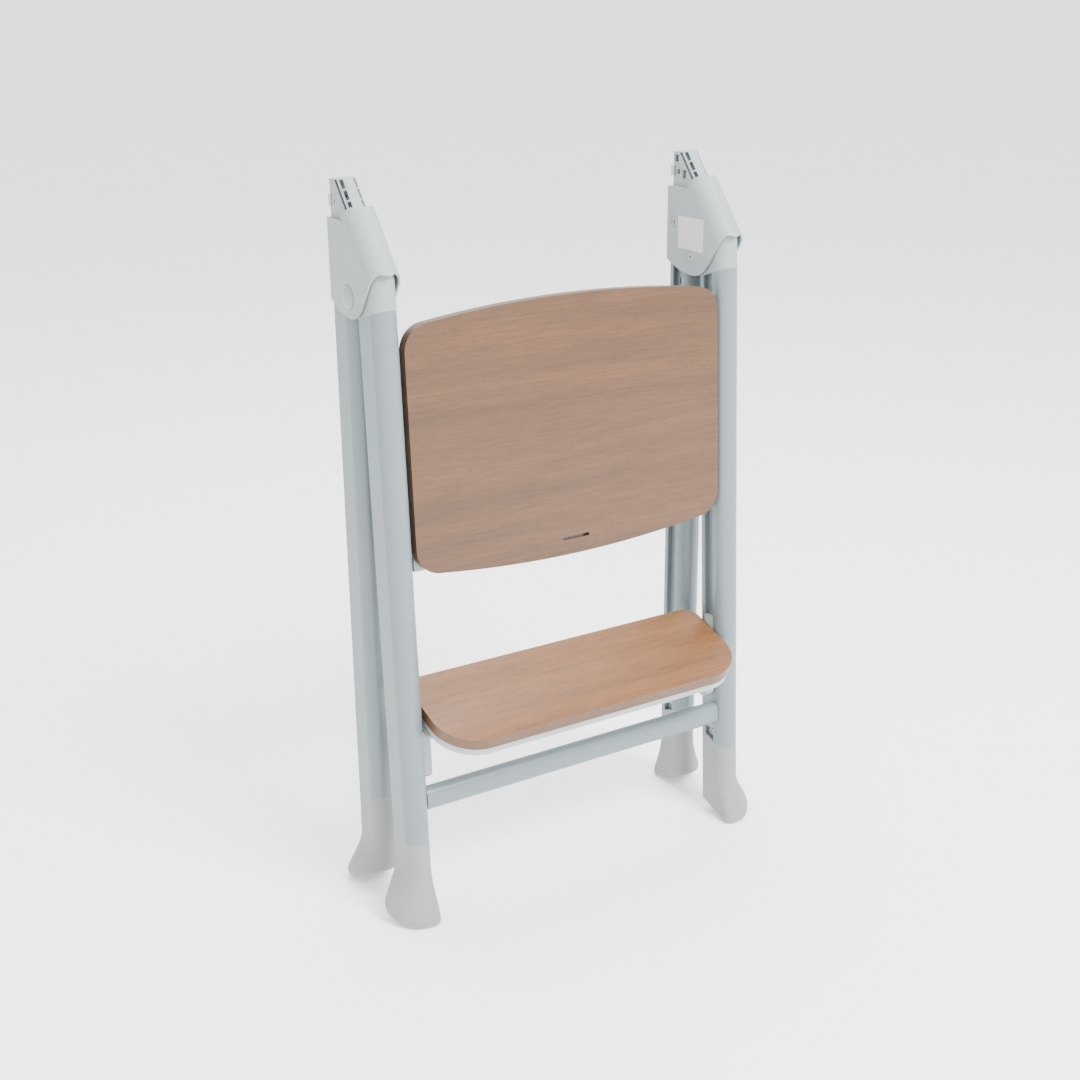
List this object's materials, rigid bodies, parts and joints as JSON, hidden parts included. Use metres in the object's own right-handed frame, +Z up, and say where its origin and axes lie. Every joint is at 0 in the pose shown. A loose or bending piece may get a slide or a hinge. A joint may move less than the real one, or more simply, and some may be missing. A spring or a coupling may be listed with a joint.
{
  "type": "folding step seat frame",
  "caption": "Folded metal leg frame of a child step seat, with plastic hubs and feet, fold-up plywood seat, sliding step with tray, and slanted spigots for an upper frame.",
  "frame": {"origin": "on the floor, under the centre of the folded frame's overall box", "axes": "+Z up, -Y the front (the side the step sticks out to), +X the right-hand legs as seen from behind"},
  "size_m": [0.4686, 0.1795, 0.7495],
  "materials": {
    "frame_paint": "light grey satin powder coat on extruded aluminium",
    "hub_plastic": "light grey fine-textured moulding",
    "steel": "zinc-plated steel",
    "spring_steel": "plain spring wire",
    "foot_plastic": "warm light grey soft-touch moulding",
    "sole_rubber": "light grey soft pad",
    "button_plastic": "satin light grey",
    "inner_plastic": "plain moulded nylon",
    "seat_ply": "lacquered beech plywood, grain across",
    "step_ply": "lacquered beech plywood, grain across",
    "tray_plastic": "light grey moulding",
    "bracket_plastic": "light grey nylon",
    "bracket_steel": "light grey paint",
    "fitting_plastic": "light grey nylon",
    "label": "blank white film"
  },
  "bodies": {
    "rear_frame": {"hub_inner_shell_left": "hub_plastic", "hub_inner_shell_right": "hub_plastic", "hub_outer_shell_left": "hub_plastic", "hub_outer_shell_right": "hub_plastic", "hub_screws": "steel", "pivot_bolts": "steel", "pivot_nuts": "steel", "rating_label": "label", "rear_bar_fittings": "fitting_plastic", "rear_bar_screws": "steel", "rear_crossbar": "frame_paint", "rear_foot_left": "foot_plastic", "rear_foot_right": "foot_plastic", "rear_foot_screws": "steel", "rear_leg_left": "frame_paint", "rear_leg_right": "frame_paint", "rear_sole_left": "sole_rubber", "rear_sole_right": "sole_rubber", "snap_springs": "spring_steel"},
    "front_frame": {"front_bar_fittings": "fitting_plastic", "front_bar_screws": "steel", "front_crossbar": "frame_paint", "front_foot_left": "foot_plastic", "front_foot_right": "foot_plastic", "front_foot_screws": "steel", "front_leg_left": "frame_paint", "front_leg_right": "frame_paint", "front_sole_left": "sole_rubber", "front_sole_right": "sole_rubber", "leg_cap_left": "hub_plastic", "leg_cap_right": "hub_plastic", "lock_springs": "spring_steel", "pivot_bushes": "inner_plastic", "seat_hinge_pins": "steel"},
    "seat": {"seat_board": "seat_ply", "seat_bracket_left": "bracket_steel", "seat_bracket_right": "bracket_steel", "seat_screws": "steel"},
    "step": {"step_board": "step_ply", "step_bracket_left": "bracket_plastic", "step_bracket_right": "bracket_plastic", "step_tray": "tray_plastic", "tray_screws": "steel"},
    "release_right": {"release_button_right": "button_plastic", "lock_gear_right": "inner_plastic"},
    "snap_right": {"snap_button_right": "inner_plastic"},
    "release_left": {"release_button_left": "button_plastic", "lock_gear_left": "inner_plastic"},
    "snap_left": {"snap_button_left": "inner_plastic"}
  },
  "joints": [
    {"name": "frame_fold", "type": "hinge", "parent": "rear_frame", "child": "front_frame", "pos_m": [0, 0.0327, 0.6435], "axis": [-1, 0, 0], "range_deg": [0, 37]},
    {"name": "seat_tilt", "type": "hinge", "parent": "front_frame", "child": "seat", "pos_m": [0, -0.00702, 0.38318], "axis": [-1, 0, 0], "range_deg": [0, 70]},
    {"name": "step_slide", "type": "slide", "parent": "front_frame", "child": "step", "axis": [0, 0.0506, 0.9987], "range_m": [0, 0.08]},
    {"name": "release_button_right", "type": "slide", "parent": "rear_frame", "child": "release_right", "axis": [-1, 0, 0], "range_m": [0, 0.0045], "stiffness_N_per_m": 600, "springref_m": -0.004},
    {"name": "release_button_left", "type": "slide", "parent": "rear_frame", "child": "release_left", "axis": [1, 0, 0], "range_m": [0, 0.0045], "stiffness_N_per_m": 600, "springref_m": -0.004},
    {"name": "snap_button_right", "type": "slide", "parent": "rear_frame", "child": "snap_right", "axis": [0, -1, 0], "range_m": [0, 0.003], "stiffness_N_per_m": 500, "springref_m": -0.004},
    {"name": "snap_button_left", "type": "slide", "parent": "rear_frame", "child": "snap_left", "axis": [0, -1, 0], "range_m": [0, 0.003], "stiffness_N_per_m": 500, "springref_m": -0.004}
  ]
}
